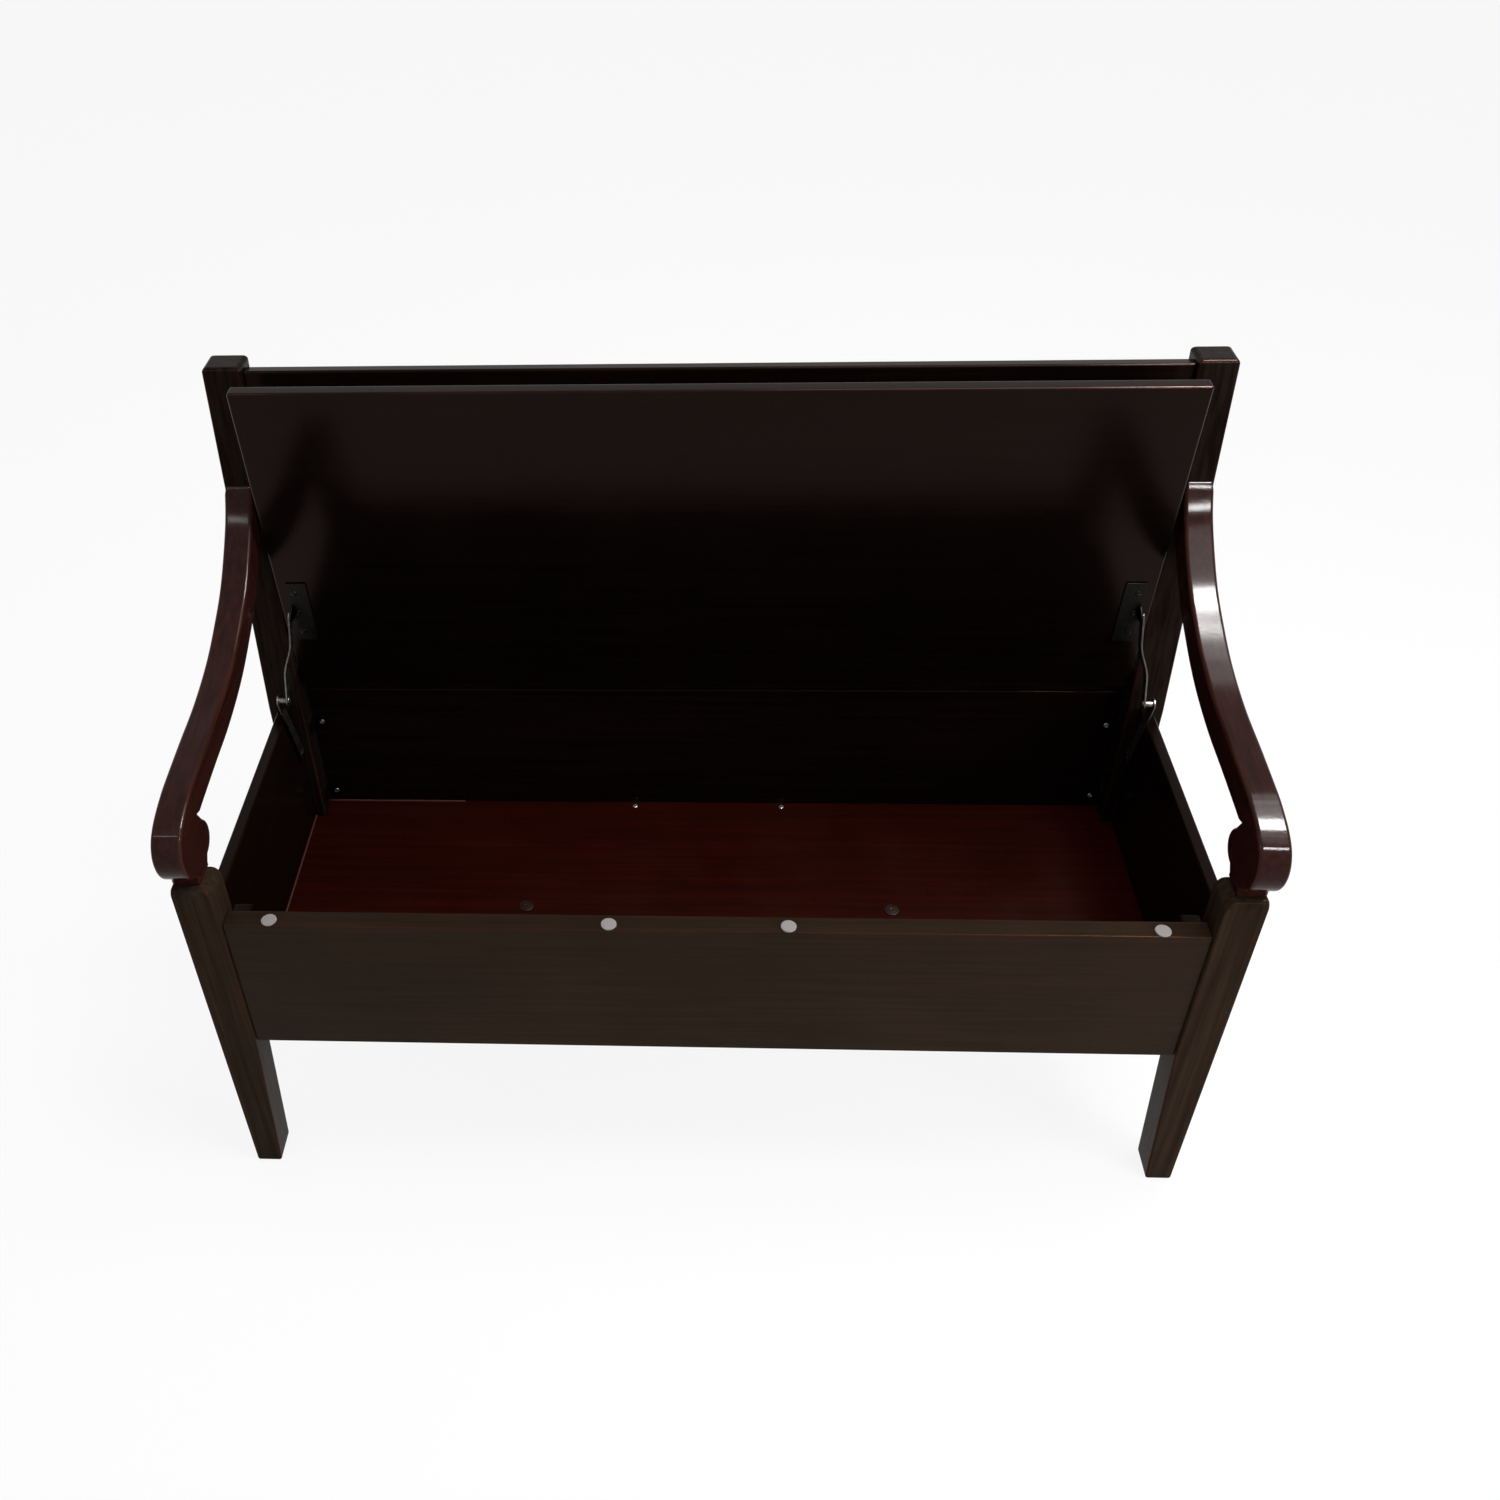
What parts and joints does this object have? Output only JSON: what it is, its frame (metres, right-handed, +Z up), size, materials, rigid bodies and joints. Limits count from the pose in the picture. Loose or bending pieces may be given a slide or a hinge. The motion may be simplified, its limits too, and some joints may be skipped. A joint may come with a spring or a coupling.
{
  "type": "deacons bench",
  "caption": "Deacons bench with a storage box under a hinged seat lid, scrolled arms, tapered legs and a framed back, shown with the lid held open by its stays.",
  "frame": {"origin": "on the ground, at the middle of the whole bench's bounding box", "axes": "+X to the right of someone who faces the bench's front, +Y from its front to its back, +Z up"},
  "size_m": [1.221, 0.5198, 0.9425],
  "materials": {
    "frame_wood": "dark red-brown stain under a gloss lacquer",
    "board_wood": "espresso stain under a satin lacquer",
    "floor_wood": "red-brown stain, thin satin lacquer",
    "hinge_metal": "bronzed steel",
    "stay_metal": "dark zinc-plated steel",
    "screw_metal": "zinc-plated steel",
    "cap_plastic": "dark brown plastic",
    "pad_felt": "white felt"
  },
  "bodies": {
    "frame": {"front_leg_left": "frame_wood", "front_leg_right": "frame_wood", "back_post_left": "frame_wood", "back_post_right": "frame_wood", "arm_left": "frame_wood", "arm_right": "frame_wood", "backrest_top_rail": "frame_wood", "backrest_lower_rail": "frame_wood", "backrest_panel": "board_wood", "front_apron": "board_wood", "side_panel_left": "board_wood", "side_panel_right": "board_wood", "box_back_panel": "board_wood", "rear_seat_rail": "board_wood", "corner_block_left": "board_wood", "corner_block_right": "board_wood", "floor_panel": "floor_wood", "floor_batten_middle": "board_wood", "floor_batten_rear": "board_wood", "floor_cap_screw_left": "cap_plastic", "floor_cap_screw_right": "cap_plastic", "floor_rear_screw_left": "screw_metal", "floor_rear_screw_right": "screw_metal", "felt_pad_1": "pad_felt", "felt_pad_2": "pad_felt", "felt_pad_3": "pad_felt", "felt_pad_4": "pad_felt", "steel_angle_lower_left": "hinge_metal", "steel_angle_lower_right": "hinge_metal", "steel_angle_upper_left": "hinge_metal", "steel_angle_upper_right": "hinge_metal", "angle_screw_lower_left": "screw_metal", "angle_screw_lower_right": "screw_metal", "angle_screw_upper_left": "screw_metal", "angle_screw_upper_right": "screw_metal", "hinge_fixed_leaf_left": "hinge_metal", "hinge_fixed_leaf_middle": "hinge_metal", "hinge_fixed_leaf_right": "hinge_metal", "hinge_pin_left": "screw_metal", "hinge_pin_middle": "screw_metal", "hinge_pin_right": "screw_metal", "stay_side_plate_left": "stay_metal", "stay_side_plate_right": "stay_metal"},
    "lid": {"lid": "board_wood", "hinge_moving_leaf_left": "hinge_metal", "hinge_moving_leaf_middle": "hinge_metal", "hinge_moving_leaf_right": "hinge_metal", "stay_lid_bracket_left": "stay_metal", "stay_lid_bracket_right": "stay_metal"},
    "stay_arm_left": {"stay_lower_arm_left": "stay_metal"},
    "stay_arm_right": {"stay_lower_arm_right": "stay_metal"},
    "stay_link_left": {"stay_upper_link_left": "stay_metal"},
    "stay_link_right": {"stay_upper_link_right": "stay_metal"}
  },
  "joints": [
    {"name": "lid_hinge", "type": "hinge", "parent": "frame", "child": "lid", "pos_m": [0, 0.20995, 0.4871], "axis": [1, 0, 0], "range_deg": [0, 85]},
    {"name": "stay_arm_left_pivot", "type": "hinge", "parent": "frame", "child": "stay_arm_left", "pos_m": [-0.5728, 0.1621, 0.384], "axis": [1, 0, 0], "range_deg": [0, 85]},
    {"name": "stay_arm_right_pivot", "type": "hinge", "parent": "frame", "child": "stay_arm_right", "pos_m": [0.5728, 0.1621, 0.384], "axis": [1, 0, 0], "range_deg": [0, 85]},
    {"name": "stay_link_left_pivot", "type": "hinge", "parent": "stay_arm_left", "child": "stay_link_left", "pos_m": [-0.56, 0.11991, 0.51281], "axis": [1, 0, 0], "range_deg": [-85, 0]},
    {"name": "stay_link_right_pivot", "type": "hinge", "parent": "stay_arm_right", "child": "stay_link_right", "pos_m": [0.56, 0.11991, 0.51281], "axis": [1, 0, 0], "range_deg": [-85, 0]}
  ],
  "couplings": [
    {"joint": "stay_arm_left_pivot", "follows": "lid_hinge", "ratio": 1},
    {"joint": "stay_arm_right_pivot", "follows": "lid_hinge", "ratio": 1},
    {"joint": "stay_link_left_pivot", "follows": "lid_hinge", "ratio": -1},
    {"joint": "stay_link_right_pivot", "follows": "lid_hinge", "ratio": -1}
  ]
}
